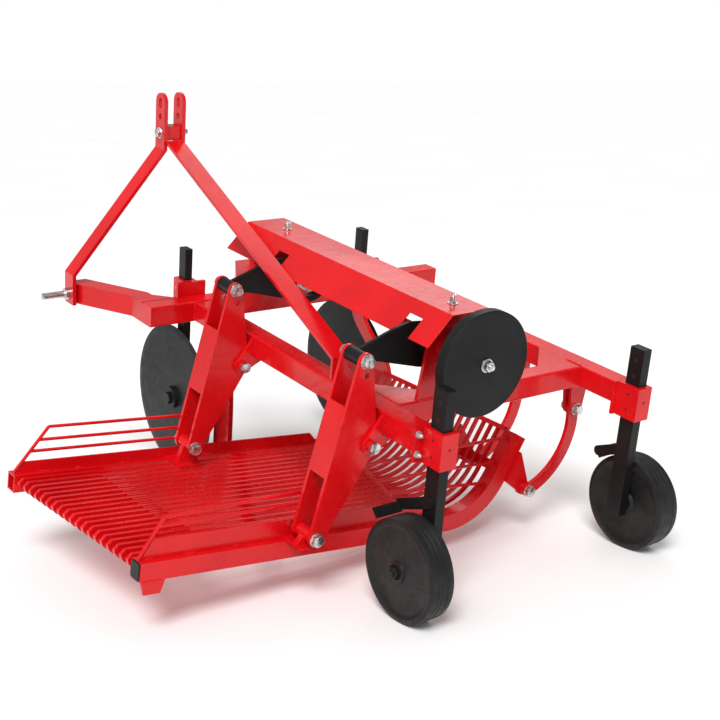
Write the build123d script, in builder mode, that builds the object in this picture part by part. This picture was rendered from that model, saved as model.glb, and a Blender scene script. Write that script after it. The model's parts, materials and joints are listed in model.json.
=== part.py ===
from build123d import *

import os
from math import acos, atan2, cos, degrees, hypot, radians, sin, tan

# Potato digger for a tractor's three-point linkage. A share lifts the row, two coulters cut its
# sides, and a sieve bed hung on two levers and two straps is shaken by an eccentric shaft and
# throws the crop off its comb, on the left of the direction of travel.
# Machine axes: X to the left, Y to the rear, Z up, from the front beam's middle under the hitch.
# The machine parks nose up, on the share's edge and both gauge wheels, so these axes are tipped.

# Running and seating clearances
RUN_FIT = 0.05
SIDE_GAP = 1.0
MOVING_GAP = 6.0

# Frame tubes
TUBE = 65.0
TUBE_WALL = 5.0
TUBE_CORNER = 6.0
BEAM_LEFT_END = 228.0
BEAM_RIGHT_END = -906.0
LEFT_RAIL_X = 41.0
RIGHT_RAIL_X = -697.0
RAIL_END_Y = 1157.0
FLANGE_THICKNESS = 8.0
FLANGE_WIDTH = 92.0
FLANGE_HEIGHT = 98.0
CROSS_TUBE_Y = 968.0
GUSSET_SIZE = 115.0
GUSSET_THICKNESS = 8.0
ARM_GUSSET_SIZE = 55.0

# Hitch
PIN_SPREAD = 683.0
LIFT_PIN_R = 11.0
LIFT_PIN_LENGTH = 92.0
LIFT_COLLAR_R = 19.0
LIFT_COLLAR_LENGTH = 16.0
HITCH_Y = -290.0
ARM_BEND_Y = -95.0
ARM_SPREAD_ANGLE = 30.0
LEG_THICKNESS = 12.0
LEG_WIDTH = 60.0
LEG_KNEE_Z = 64.0
CLEVIS_GAP = 52.0
CLEVIS_TOP_Z = 630.0
CLEVIS_BEND_Z = 450.0
TOP_HOLE_R = 9.75
TOP_HOLE_Z = 555.0
TOP_SLOT_Z = 598.0
TOP_SLOT_LENGTH = 32.0
SPACER_Z = 503.0
SPACER_SIZE = 44.0
BRACE_WIDTH = 60.0
BRACE_THICKNESS = 10.0
BRACE_FOOT_Y = 775.0
BRACE_HEAD_Z = 482.0
BRACE_KNEE_Z = 98.0

# Drive line
SHAFT_X = -147.0
SHAFT_Z = 169.0
SHAFT_R = 20.0
SHAFT_FRONT_Y = 0.0
PTO_R = 17.4
PTO_LENGTH = 90.0
PTO_GROOVES = 6
PTO_GROOVE_DEPTH = 2.7
PTO_GROOVE_WIDTH = 8.0
FLYWHEEL_R = 145.0
FLYWHEEL_THICKNESS = 32.0
FLYWHEEL_Y = 1113.0
ECCENTRIC_R = 30.0
ECCENTRIC_THROW = 8.0
ECCENTRIC_WIDTH = 26.0
RING_R = 70.0
RING_WIDTH = 26.0
BEARING_R = 46.0
BEARING_LENGTH = 30.0
SUPPORT_THICKNESS = 10.0
FRONT_SUPPORT_Y = 200.0
REAR_SUPPORT_Y = 993.0
REAR_SUPPORT_WIDTH = 192.0
COVER_FRONT_Y = 78.0
COVER_REAR_Y = 1072.0
COVER_TOP_Z = 290.0
COVER_TOP_WIDTH = 130.0
COVER_SKIRT_OUT = 75.0
COVER_SKIRT_DOWN = 78.0
COVER_SHEET = 3.0
NOTCH_WIDTH = 56.0
NOTCH_DEPTH = 48.0

# Levers that swing the bed
PIVOT_X = 108.0
PIVOT_Z = -56.0
LEVER_TOP_OUT = 26.0
LEVER_TOP_RISE = 233.0
LEVER_FOOT_OUT = 146.0
LEVER_FOOT_DROP = 241.0
LEVER_WIDTH = 84.0
LEVER_PLATE = 10.0
LEVER_TOP_R = 22.0
LEVER_WAIST_R = 34.0
LEVER_WAIST_OUT = 8.0
LEVER_FOOT_R = 22.0
LEVER_SPARE_HOLE_R = 8.0
LEVER_WEB = 8.0
LEVER_WEB_START = 127.0
LEVER_WEB_LENGTH = 196.0
FRONT_LEVER_Y = 330.0
REAR_LEVER_Y = 968.0
PIN_R = 10.0
HEAD_R = 15.0
HEAD = 10.0
BRACKET_PLATE = 10.0
BRACKET_EYE_R = 24.0
CONROD_PLATE = 10.0
CONROD_EYE_R = 20.0

# Coulter discs
DISC_POST_Y = -75.0
DISC_POST_WIDTH = 40.0
DISC_POST_DEPTH = 25.0
DISC_POST_TOP = 177.0
DISC_AXLE_Z = -327.0
DISC_R = 243.0
DISC_THICKNESS = 5.0
DISC_HUB_R = 36.0
DISC_HUB_LENGTH = 34.0
DISC_CLAMP_HEIGHT = 84.0
DISC_CLAMP_Z = 34.0
DISC_CLAMP_PLATE = 100.0
LEFT_DISC_POST_X = 51.0
RIGHT_DISC_POST_X = -644.0

# Gauge wheels
WHEEL_POST_Y = 1205.0
WHEEL_POST_WIDTH = 50.0
WHEEL_POST_DEPTH = 30.0
WHEEL_POST_TOP = 158.0
LEFT_WHEEL_POST_X = 35.0
RIGHT_WHEEL_POST_X = -668.0
WHEEL_DROP = 325.0
WHEEL_R = 140.0
WHEEL_WIDTH = 78.0
WHEEL_RIM_WIDTH = 16.0
WHEEL_DISH_DEPTH = 10.0
WHEEL_HUB_R = 27.0
WHEEL_GAP = 10.0
AXLE_R = 12.0
CLAMP_WALL = 12.0
WHEEL_CLAMP_HEIGHT = 98.0
SCRAPER_ARM = 5.0
SCRAPER_BLADE = 5.0
SCRAPER_REACH = 30.0

# Sieve bed, in its own axes: x along the bars to the open side, y to the rear, z up from the rails
BED_X = 254.0
BED_Y = 585.0
BED_Z = -350.5
BED_TILT = 6.0
BED_PITCH = 2.93
BED_HALF = 323.0
BED_RAIL_WIDTH = 45.0
BED_RAIL_HEIGHT = 50.0
BED_RAIL_WALL = 4.0
FRONT_RAIL_TIP = 522.0
REAR_RAIL_TIP = 462.0
BEND_X = -519.0
RAISED_X = BEND_X + 30
BEND_R = 180.0
BEND_ANGLE = 65.0
LIFT_LENGTH = 140.0
WALL_SHEET = 5.0
FRONT_WALL_HEIGHT = 33.0
REAR_WALL_HEIGHT = 52.0
FRONT_WALL_Y = -320.0
REAR_WALL_Y = 323.0
BAR_COUNT = 18
BAR_WIDTH = 8.0
BAR_HEIGHT = 12.0
TOP_ROD = 14.0
CROSS_FLAT_WIDTH = 30.0
CROSS_FLAT = 6.0
FINGER_COUNT = 19
FINGER_WIDTH = 11.0
FINGER_HEIGHT = 38.0
FINGER_NOSE_R = 26.0
COMB_INNER_X = 262.0
COMB_STRIP_WIDTH = 46.0
COMB_STRIP = 6.0
FOOT_PLATE = 8.0
FOOT_PLATE_LENGTH = 72.0
FOOT_PLATE_DROP = 36.0
ROD_R = 5.0
BOSS_R = 18.0
SADDLE_PLATE = 8.0
SADDLE_LENGTH = 70.0

# Straps that carry the closed end of the bed
STRAP_TOP_X = -692.0
STRAP_TOP_Z = -116.0
STRAP_BOW_X = -655.0
STRAP_BOW_Z = -283.0
STRAP_WIDTH = 38.0
STRAP_THICKNESS = 12.0
STRAP_PIN_R = 8.0
STRAP_EYE_R = 22.0
FRONT_STRAP_Y = 720.0
REAR_STRAP_Y = BED_Y + BED_HALF + 52

# Share
SHARE_LEFT_X = 60.0
SHARE_RIGHT_X = -600.0
SHARE_EDGE_Y = -60.0
SHARE_REAR_Y = 224.0
SHARE_THICKNESS = 12.0
SHARE_ANGLE = 19.0
SHARE_LEG_THICKNESS = 16.0
LEFT_LEG_X = 41.0
RIGHT_LEG_X = -588.0

# Parked stance: nose up, over the middle of the ground that the machine covers
STANCE = 7.0
PARKED_X = 63.817
PARKED_Y = -469.559
STANCE_SIN = sin(radians(STANCE))
STANCE_COS = cos(radians(STANCE))
STANCE_LIFT = WHEEL_R + WHEEL_POST_Y * STANCE_SIN + WHEEL_DROP * STANCE_COS

HALF = TUBE / 2
MACHINE = Plane(Location((PARKED_X, PARKED_Y, STANCE_LIFT), (-STANCE, 0, 0)))
BED = Plane(MACHINE.location * Location((BED_X, BED_Y, BED_Z), (BED_PITCH, -BED_TILT, 0)))

os.makedirs("parts", exist_ok=True)


def across(base, x):
    """Plane that faces +X at a station, with the base's Y and Z as its own x and y."""
    return Plane(origin=base.from_local_coords((x, 0, 0)), x_dir=base.y_dir, z_dir=base.x_dir)


def lengthwise(base, y):
    """Plane that faces the front at a station, with the base's X and Z as its own x and y."""
    return Plane(origin=base.from_local_coords((0, y, 0)), x_dir=base.x_dir, z_dir=-base.y_dir)


def level(base, z):
    """Plane that faces up at a height, with the base's own x and y."""
    return Plane(origin=base.from_local_coords((0, 0, z)), x_dir=base.x_dir, z_dir=base.z_dir)


def tapered_bar(*eyes):
    """Fill the outline of a bar that runs through round eyes of given x, y and radius."""
    for (x0, y0, r0), (x1, y1, r1) in zip(eyes, eyes[1:]):
        aim = atan2(y1 - y0, x1 - x0)
        spread = acos((r0 - r1) / hypot(x1 - x0, y1 - y0))
        a = aim + spread
        b = aim - spread
        with BuildLine() as sides:
            Polyline(
                (x0 + r0 * cos(a), y0 + r0 * sin(a)),
                (x1 + r1 * cos(a), y1 + r1 * sin(a)),
                (x1 + r1 * cos(b), y1 + r1 * sin(b)),
                (x0 + r0 * cos(b), y0 + r0 * sin(b)),
                close=True,
            )
        make_face(sides.line)
    for x, y, r in eyes:
        with Locations((x, y)):
            Circle(r)


def tray_strip(tip, low, high):
    """Fill the side view of a strip that follows the bed's floor and turns up at the closed end."""
    turn = radians(BEND_ANGLE)
    centre = (BEND_X, BEND_R)
    ends = []
    for z in (low, high):
        r = BEND_R - z
        start = (BEND_X, z)
        middle = (centre[0] - r * sin(turn / 2), centre[1] - r * cos(turn / 2))
        end = (centre[0] - r * sin(turn), centre[1] - r * cos(turn))
        top = (end[0] - LIFT_LENGTH * cos(turn), end[1] + LIFT_LENGTH * sin(turn))
        ends.append((start, middle, end, top))
    lower, upper = ends
    with BuildLine() as outline:
        Line((tip, low), lower[0])
        ThreePointArc(*lower[:3])
        Line(lower[2], lower[3])
        Line(lower[3], upper[3])
        Line(upper[3], upper[2])
        ThreePointArc(upper[2], upper[1], upper[0])
        Line(upper[0], (tip, high))
        Line((tip, high), (tip, low))
    make_face(outline.line)


def tray_end(z, along=0.0):
    """Point of the tray's raised end at a height above its floor line, some way from its top."""
    turn = radians(BEND_ANGLE)
    run = LIFT_LENGTH - along
    return (
        BEND_X - (BEND_R - z) * sin(turn) - run * cos(turn),
        BEND_R - (BEND_R - z) * cos(turn) + run * sin(turn),
    )


# Front beam with capped ends, and the flat gussets where the hitch arms leave it
with BuildPart() as front_beam:
    with BuildSketch(across(MACHINE, BEAM_RIGHT_END)):
        RectangleRounded(TUBE, TUBE, TUBE_CORNER)
    extrude(amount=BEAM_LEFT_END - BEAM_RIGHT_END)
    with BuildSketch(across(MACHINE, BEAM_RIGHT_END + TUBE_WALL)):
        Rectangle(TUBE - 2 * TUBE_WALL, TUBE - 2 * TUBE_WALL)
    extrude(amount=BEAM_LEFT_END - BEAM_RIGHT_END - 2 * TUBE_WALL, mode=Mode.SUBTRACT)
front_beam.part.label = "front_beam"
export_step(front_beam.part, "parts/front_beam.step")

# Long rails with a flange behind each for its gauge wheel
for side, rail_x, post_x in (
    ("left", LEFT_RAIL_X, LEFT_WHEEL_POST_X),
    ("right", RIGHT_RAIL_X, RIGHT_WHEEL_POST_X),
):
    with BuildPart() as rail:
        with BuildSketch(lengthwise(MACHINE, RAIL_END_Y)):
            with Locations((rail_x, 0)):
                RectangleRounded(TUBE, TUBE, TUBE_CORNER)
                Rectangle(TUBE - 2 * TUBE_WALL, TUBE - 2 * TUBE_WALL, mode=Mode.SUBTRACT)
        extrude(amount=RAIL_END_Y - HALF)
        with BuildSketch(lengthwise(MACHINE, RAIL_END_Y + FLANGE_THICKNESS)):
            with Locations(((rail_x + post_x) / 2, 0)):
                Rectangle(FLANGE_WIDTH + abs(rail_x - post_x) / 2, FLANGE_HEIGHT)
        extrude(amount=FLANGE_THICKNESS)
    rail.part.label = f"{side}_rail"
    export_step(rail.part, f"parts/{side}_rail.step")

# Rear cross tube between the rails, with flush corner plates ahead of it
cross_left = LEFT_RAIL_X - HALF
cross_right = RIGHT_RAIL_X + HALF
cross_front = CROSS_TUBE_Y - HALF
with BuildPart() as rear_cross_tube:
    with BuildSketch(across(MACHINE, cross_right)):
        with Locations((CROSS_TUBE_Y, 0)):
            RectangleRounded(TUBE, TUBE, TUBE_CORNER)
            Rectangle(TUBE - 2 * TUBE_WALL, TUBE - 2 * TUBE_WALL, mode=Mode.SUBTRACT)
    extrude(amount=cross_left - cross_right)
    for corner_x, way in ((cross_left, -1), (cross_right, 1)):
        with BuildSketch(level(MACHINE, HALF - GUSSET_THICKNESS)):
            with BuildLine():
                Polyline(
                    (corner_x, cross_front + TUBE_CORNER),
                    (corner_x + way * GUSSET_SIZE, cross_front + TUBE_CORNER),
                    (corner_x + way * GUSSET_SIZE, cross_front),
                    (corner_x, cross_front - GUSSET_SIZE),
                    close=True,
                )
            make_face()
        extrude(amount=GUSSET_THICKNESS)
rear_cross_tube.part.label = "rear_cross_tube"
export_step(rear_cross_tube.part, "parts/rear_cross_tube.step")

# Hitch arms, straight off the beam and then spread towards the lower pins
leg_inner = PIN_SPREAD / 2
leg_outer = leg_inner + LEG_THICKNESS
leg_front = HITCH_Y - LEG_WIDTH / 2
spread = tan(radians(ARM_SPREAD_ANGLE))
arm_outer = BEAM_LEFT_END
arm_inner = arm_outer - TUBE
for side, sign in (("left", 1), ("right", -1)):
    with BuildPart() as arm:
        with BuildSketch(level(MACHINE, -HALF)):
            with BuildLine():
                Polyline(
                    (sign * arm_inner, -HALF),
                    (sign * arm_outer, -HALF),
                    (sign * arm_outer, ARM_BEND_Y),
                    (sign * leg_inner, ARM_BEND_Y - (leg_inner - arm_outer) / spread),
                    (sign * leg_inner, leg_front),
                    (sign * (arm_inner + (ARM_BEND_Y - 18 - leg_front) * spread), leg_front),
                    (sign * arm_inner, ARM_BEND_Y - 18),
                    close=True,
                )
            make_face()
        extrude(amount=TUBE)
        with BuildSketch(level(MACHINE, -HALF)):
            with BuildLine():
                Polyline(
                    (sign * arm_inner, -HALF),
                    (sign * (arm_inner - ARM_GUSSET_SIZE), -HALF),
                    (sign * arm_inner, -HALF - ARM_GUSSET_SIZE),
                    close=True,
                )
            make_face()
        extrude(amount=GUSSET_THICKNESS)
        with BuildSketch(level(MACHINE, HALF - GUSSET_THICKNESS)):
            with BuildLine():
                Polyline(
                    (sign * arm_inner, -HALF),
                    (sign * (arm_inner - ARM_GUSSET_SIZE), -HALF),
                    (sign * arm_inner, -HALF - ARM_GUSSET_SIZE),
                    close=True,
                )
            make_face()
        extrude(amount=GUSSET_THICKNESS)
    arm.part.label = f"{side}_hitch_arm"
    export_step(arm.part, f"parts/{side}_hitch_arm.step")

# Mast legs: flat bars from the lower pins up to the clevis for the top link
clevis_inner = CLEVIS_GAP / 2
clevis_outer = clevis_inner + LEG_THICKNESS
for side, sign in (("left", 1), ("right", -1)):
    with BuildPart() as leg:
        with BuildSketch(lengthwise(MACHINE, HITCH_Y + LEG_WIDTH / 2)):
            with BuildLine():
                Polyline(
                    (sign * clevis_inner, CLEVIS_TOP_Z),
                    (sign * clevis_outer, CLEVIS_TOP_Z),
                    (sign * clevis_outer, CLEVIS_BEND_Z + LEG_THICKNESS / 3),
                    (sign * leg_outer, LEG_KNEE_Z + LEG_THICKNESS / 3),
                    (sign * leg_outer, -HALF),
                    (sign * leg_inner, -HALF),
                    (sign * leg_inner, LEG_KNEE_Z),
                    (sign * clevis_inner, CLEVIS_BEND_Z),
                    close=True,
                )
            make_face()
        extrude(amount=LEG_WIDTH)
        fillet(leg.edges().filter_by(Axis.X).sort_by(Axis.Z)[-2:], LEG_WIDTH / 2 - 1)
        with BuildSketch(across(MACHINE, -leg_outer)):
            with Locations((HITCH_Y, TOP_HOLE_Z)):
                Circle(TOP_HOLE_R)
            with Locations((HITCH_Y, TOP_SLOT_Z)):
                SlotOverall(TOP_SLOT_LENGTH, 2 * TOP_HOLE_R, rotation=90)
            with Locations((HITCH_Y, 0)):
                Circle(LIFT_PIN_R)
        extrude(amount=2 * leg_outer, mode=Mode.SUBTRACT)
    leg.part.label = f"{side}_mast_leg"
    export_step(leg.part, f"parts/{side}_mast_leg.step")

# Lower pins with their collars, each bolted through its leg
with BuildPart() as lower_pins:
    for sign in (1, -1):
        with BuildSketch(across(MACHINE, sign * leg_inner)):
            with Locations((HITCH_Y, 0)):
                Circle(LIFT_PIN_R)
        extrude(amount=sign * (LEG_THICKNESS + LIFT_PIN_LENGTH))
        with BuildSketch(across(MACHINE, sign * leg_outer)):
            with Locations((HITCH_Y, 0)):
                Circle(LIFT_COLLAR_R)
        extrude(amount=sign * LIFT_COLLAR_LENGTH)
    tips = lower_pins.edges().filter_by(GeomType.CIRCLE).sort_by(Axis.X)
    chamfer([tips[0], tips[-1]], 3)
lower_pins.part.label = "lower_pins"
export_step(lower_pins.part, "parts/lower_pins.step")

# Block between the clevis plates
with BuildPart() as mast_spacer:
    with BuildSketch(across(MACHINE, -clevis_inner)):
        with Locations((HITCH_Y, SPACER_Z)):
            Rectangle(SPACER_SIZE, SPACER_SIZE)
    extrude(amount=CLEVIS_GAP)
mast_spacer.part.label = "mast_spacer"
export_step(mast_spacer.part, "parts/mast_spacer.step")

# Brace from the mast back to the left rail, bent down to an upright foot
brace_start = LEG_WIDTH / 2 + 1.2
brace_run = hypot(LEFT_RAIL_X, BRACE_FOOT_Y - HITCH_Y)
brace_fall = (BRACE_HEAD_Z - BRACE_KNEE_Z) / (brace_run - brace_start)
brace_depth = BRACE_THICKNESS * hypot(1, brace_fall)
brace_turn = Location((0, HITCH_Y, 0), (0, 0, 90 - degrees(atan2(LEFT_RAIL_X, BRACE_FOOT_Y - HITCH_Y))))
BRACE = Plane(MACHINE.location * brace_turn)
with BuildPart() as mast_brace:
    with BuildSketch(lengthwise(BRACE, BRACE_WIDTH / 2)):
        with BuildLine():
            Polyline(
                (brace_start, BRACE_HEAD_Z),
                (brace_run + BRACE_THICKNESS / 2, BRACE_KNEE_Z),
                (brace_run + BRACE_THICKNESS / 2, HALF),
                (brace_run - BRACE_THICKNESS / 2, HALF),
                (brace_run - BRACE_THICKNESS / 2, BRACE_KNEE_Z - brace_depth + BRACE_THICKNESS * brace_fall),
                (brace_start, BRACE_HEAD_Z - brace_depth),
                close=True,
            )
        make_face()
    extrude(amount=BRACE_WIDTH)
mast_brace.part.label = "mast_brace"
export_step(mast_brace.part, "parts/mast_brace.step")

# Plates that carry the shaft's bearings: the front one leans in from the left rail, the rear one
# stands on the cross tube
plate_top = COVER_TOP_Z - COVER_SHEET
plate_half = COVER_TOP_WIDTH / 2 - MOVING_GAP
for name, station, outline in (
    (
        "front",
        FRONT_SUPPORT_Y,
        (
            (LEFT_RAIL_X + HALF - TUBE_CORNER, HALF),
            (SHAFT_X + plate_half + 6, plate_top - 26),
            (SHAFT_X + plate_half, plate_top),
            (SHAFT_X - plate_half, plate_top),
            (SHAFT_X - plate_half, SHAFT_Z),
            (LEFT_RAIL_X - HALF + TUBE_CORNER, HALF),
        ),
    ),
    (
        "rear",
        REAR_SUPPORT_Y,
        (
            (SHAFT_X + REAR_SUPPORT_WIDTH / 2, HALF),
            (SHAFT_X + plate_half, plate_top),
            (SHAFT_X - plate_half, plate_top),
            (SHAFT_X - REAR_SUPPORT_WIDTH / 2, HALF),
        ),
    ),
):
    with BuildPart() as support:
        with BuildSketch(lengthwise(MACHINE, station + SUPPORT_THICKNESS / 2)):
            with BuildLine():
                Polyline(*outline, close=True)
            make_face()
        extrude(amount=SUPPORT_THICKNESS)
        with BuildSketch(lengthwise(MACHINE, station + SUPPORT_THICKNESS / 2 + BEARING_LENGTH)):
            with Locations((SHAFT_X, SHAFT_Z)):
                Circle(BEARING_R)
        extrude(amount=BEARING_LENGTH)
        with BuildSketch(lengthwise(MACHINE, station + SUPPORT_THICKNESS / 2 + BEARING_LENGTH)):
            with Locations((SHAFT_X, SHAFT_Z)):
                Circle(SHAFT_R + RUN_FIT)
        extrude(amount=BEARING_LENGTH + SUPPORT_THICKNESS, mode=Mode.SUBTRACT)
    support.part.label = f"{name}_shaft_support"
    export_step(support.part, f"parts/{name}_shaft_support.step")

# Cover over the drive: folded sheet, open below and at its ends, notched for the connecting rods
roof_half = COVER_TOP_WIDTH / 2
skirt_x = roof_half + COVER_SKIRT_OUT
skirt_z = COVER_TOP_Z - COVER_SKIRT_DOWN
with BuildPart() as drive_cover:
    with BuildSketch(lengthwise(MACHINE, COVER_REAR_Y)):
        with BuildLine():
            Polyline(
                (SHAFT_X + skirt_x, skirt_z),
                (SHAFT_X + roof_half, COVER_TOP_Z),
                (SHAFT_X - roof_half, COVER_TOP_Z),
                (SHAFT_X - skirt_x, skirt_z),
                (SHAFT_X - skirt_x + COVER_SHEET * 1.41, skirt_z),
                (SHAFT_X - roof_half + COVER_SHEET * 0.41, COVER_TOP_Z - COVER_SHEET),
                (SHAFT_X + roof_half - COVER_SHEET * 0.41, COVER_TOP_Z - COVER_SHEET),
                (SHAFT_X + skirt_x - COVER_SHEET * 1.41, skirt_z),
                close=True,
            )
        make_face()
    extrude(amount=COVER_REAR_Y - COVER_FRONT_Y)
    for station in (FRONT_LEVER_Y, REAR_LEVER_Y - MOVING_GAP):
        with BuildSketch(level(MACHINE, skirt_z - 1)):
            with Locations((SHAFT_X + skirt_x, station)):
                Rectangle(2 * NOTCH_DEPTH, NOTCH_WIDTH)
        extrude(amount=NOTCH_DEPTH + 3 * COVER_SHEET, mode=Mode.SUBTRACT)
drive_cover.part.label = "drive_cover"
export_step(drive_cover.part, "parts/drive_cover.step")

# Eccentric shaft with its splined front end
rod_stations = {"front": FRONT_LEVER_Y, "rear": REAR_LEVER_Y - 8}
with BuildPart() as eccentric_shaft:
    with BuildSketch(lengthwise(MACHINE, FLYWHEEL_Y)):
        with Locations((SHAFT_X, SHAFT_Z)):
            Circle(SHAFT_R)
    extrude(amount=FLYWHEEL_Y - SHAFT_FRONT_Y)
    with BuildSketch(lengthwise(MACHINE, SHAFT_FRONT_Y)):
        with Locations((SHAFT_X, SHAFT_Z)):
            Circle(PTO_R)
            with PolarLocations(PTO_R, PTO_GROOVES):
                Rectangle(2 * PTO_GROOVE_DEPTH, PTO_GROOVE_WIDTH, mode=Mode.SUBTRACT)
    extrude(amount=PTO_LENGTH)
    for station in rod_stations.values():
        with BuildSketch(lengthwise(MACHINE, station + ECCENTRIC_WIDTH / 2)):
            with Locations((SHAFT_X, SHAFT_Z - ECCENTRIC_THROW)):
                Circle(ECCENTRIC_R)
        extrude(amount=ECCENTRIC_WIDTH)
eccentric_shaft.part.label = "eccentric_shaft"
export_step(eccentric_shaft.part, "parts/eccentric_shaft.step")

# Flywheel bolted on the shaft's rear end
with BuildPart() as flywheel:
    with BuildSketch(lengthwise(MACHINE, FLYWHEEL_Y + FLYWHEEL_THICKNESS)):
        with Locations((SHAFT_X, SHAFT_Z)):
            Circle(FLYWHEEL_R)
    extrude(amount=FLYWHEEL_THICKNESS)
    chamfer(flywheel.edges().filter_by(GeomType.CIRCLE), 3)
    with BuildSketch(lengthwise(MACHINE, FLYWHEEL_Y + FLYWHEEL_THICKNESS + 4)):
        with Locations((SHAFT_X, SHAFT_Z)):
            Circle(18)
    extrude(amount=4)
    with BuildSketch(lengthwise(MACHINE, FLYWHEEL_Y + FLYWHEEL_THICKNESS + 16)):
        with Locations((SHAFT_X, SHAFT_Z)):
            RegularPolygon(13, 6)
    extrude(amount=12)
flywheel.part.label = "flywheel"
export_step(flywheel.part, "parts/flywheel.step")

# Levers: two ears, straight in front and wide at the pivot, joined by a web plate, with pins at
# the top and at the foot
top_x = PIVOT_X + LEVER_TOP_OUT
top_z = PIVOT_Z + LEVER_TOP_RISE
foot_x = PIVOT_X + LEVER_FOOT_OUT
foot_z = PIVOT_Z - LEVER_FOOT_DROP
waist_x = PIVOT_X + LEVER_WAIST_OUT
ear_length = LEVER_WIDTH - 2 * LEVER_PLATE
lean = atan2(foot_x - top_x, top_z - foot_z)
web_along = LEVER_WEB_START + LEVER_WEB_LENGTH / 2
web_out = (LEVER_TOP_R + LEVER_FOOT_R) / 2 - LEVER_WEB / 2
web_x = top_x + web_along * sin(lean) + web_out * cos(lean)
web_z = top_z - web_along * cos(lean) + web_out * sin(lean)
boss_length = ear_length - 2 * SIDE_GAP
for name, station in (("front", FRONT_LEVER_Y), ("rear", REAR_LEVER_Y)):
    rear_face = station + LEVER_WIDTH / 2
    with BuildPart() as lever:
        for start in (rear_face, rear_face - LEVER_WIDTH + LEVER_PLATE):
            with BuildSketch(lengthwise(MACHINE, start)):
                tapered_bar(
                    (top_x, top_z, LEVER_TOP_R),
                    (waist_x, PIVOT_Z, LEVER_WAIST_R),
                    (foot_x, foot_z, LEVER_FOOT_R),
                    (top_x, top_z, LEVER_TOP_R),
                )
                with BuildLine():
                    Polyline((top_x, top_z), (waist_x, PIVOT_Z), (foot_x, foot_z), close=True)
                make_face()
                with Locations((PIVOT_X, PIVOT_Z)):
                    Circle(PIN_R + RUN_FIT, mode=Mode.SUBTRACT)
                with Locations((top_x - 5, top_z - 40)):
                    Circle(LEVER_SPARE_HOLE_R, mode=Mode.SUBTRACT)
            extrude(amount=LEVER_PLATE)
        with BuildSketch(lengthwise(MACHINE, rear_face - LEVER_PLATE)):
            with Locations((web_x, web_z)):
                Rectangle(LEVER_WEB, LEVER_WEB_LENGTH, rotation=degrees(lean))
        extrude(amount=ear_length)
        for x, z in ((top_x, top_z), (foot_x, foot_z)):
            with BuildSketch(lengthwise(MACHINE, rear_face)):
                with Locations((x, z)):
                    Circle(PIN_R)
            extrude(amount=LEVER_WIDTH)
            for start in (rear_face + HEAD, rear_face - LEVER_WIDTH):
                with BuildSketch(lengthwise(MACHINE, start)):
                    with Locations((x, z)):
                        Circle(HEAD_R)
                extrude(amount=HEAD)
    lever.part.label = f"{name}_lever"
    export_step(lever.part, f"parts/{name}_lever.step")

# Connecting rods: an eye tube between the lever's ears, a tapering plate and a ring that stands
# free round its eccentric
for name, station in (("front", FRONT_LEVER_Y), ("rear", REAR_LEVER_Y)):
    rod_y = rod_stations[name]
    with BuildPart() as conrod:
        with BuildSketch(lengthwise(MACHINE, rod_y + CONROD_PLATE / 2)):
            with BuildLine():
                Polyline(
                    (top_x, top_z + CONROD_EYE_R - 4),
                    (top_x - 122, top_z + 58),
                    (top_x - 164, top_z + 68),
                    (SHAFT_X + 20, SHAFT_Z + RING_R - 4),
                    (SHAFT_X + 20, SHAFT_Z - RING_R + 4),
                    (SHAFT_X + 78, SHAFT_Z - 54),
                    (top_x - 70, top_z - 26),
                    (top_x, top_z - CONROD_EYE_R + 2),
                    close=True,
                )
            make_face()
        extrude(amount=CONROD_PLATE)
        with BuildSketch(lengthwise(MACHINE, rod_y + RING_WIDTH / 2)):
            with Locations((SHAFT_X, SHAFT_Z)):
                Circle(RING_R)
        extrude(amount=RING_WIDTH)
        with BuildSketch(lengthwise(MACHINE, rod_y + RING_WIDTH / 2)):
            with Locations((SHAFT_X, SHAFT_Z)):
                Circle(ECCENTRIC_R + 2 * ECCENTRIC_THROW + MOVING_GAP)
        extrude(amount=RING_WIDTH, mode=Mode.SUBTRACT)
        with BuildSketch(lengthwise(MACHINE, station + boss_length / 2)):
            with Locations((top_x, top_z)):
                Circle(CONROD_EYE_R)
        extrude(amount=boss_length)
        with BuildSketch(lengthwise(MACHINE, station + boss_length / 2)):
            with Locations((top_x, top_z)):
                Circle(PIN_R + RUN_FIT)
        extrude(amount=boss_length, mode=Mode.SUBTRACT)
    conrod.part.label = f"{name}_conrod"
    export_step(conrod.part, f"parts/{name}_conrod.step")

# Brackets on the left rail that hold the levers' pivot pins
bracket_face = LEFT_RAIL_X + HALF
with BuildPart() as lever_brackets:
    for station in (FRONT_LEVER_Y, REAR_LEVER_Y):
        outer = LEVER_WIDTH / 2 + SIDE_GAP
        for start in (station + outer + BRACKET_PLATE, station - outer):
            with BuildSketch(lengthwise(MACHINE, start)):
                tapered_bar((PIVOT_X, PIVOT_Z, BRACKET_EYE_R), (bracket_face - 14, -6, BRACKET_EYE_R))
                with BuildLine():
                    Polyline(
                        (bracket_face, HALF - TUBE_CORNER),
                        (PIVOT_X + BRACKET_EYE_R - 4, PIVOT_Z + 12),
                        (PIVOT_X, PIVOT_Z - BRACKET_EYE_R),
                        (bracket_face - 30, -HALF - 16),
                        (bracket_face - 30, -HALF),
                        (bracket_face, -HALF),
                        close=True,
                    )
                make_face()
                with Locations((LEFT_RAIL_X, 0)):
                    Rectangle(TUBE, TUBE, mode=Mode.SUBTRACT)
            extrude(amount=BRACKET_PLATE)
        with BuildSketch(lengthwise(MACHINE, station + outer + BRACKET_PLATE)):
            with Locations((PIVOT_X, PIVOT_Z)):
                Circle(PIN_R)
        extrude(amount=2 * (outer + BRACKET_PLATE))
        for start in (station + outer + BRACKET_PLATE + HEAD, station - outer - BRACKET_PLATE):
            with BuildSketch(lengthwise(MACHINE, start)):
                with Locations((PIVOT_X, PIVOT_Z)):
                    Circle(HEAD_R)
            extrude(amount=HEAD)
lever_brackets.part.label = "lever_brackets"
export_step(lever_brackets.part, "parts/lever_brackets.step")

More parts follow.
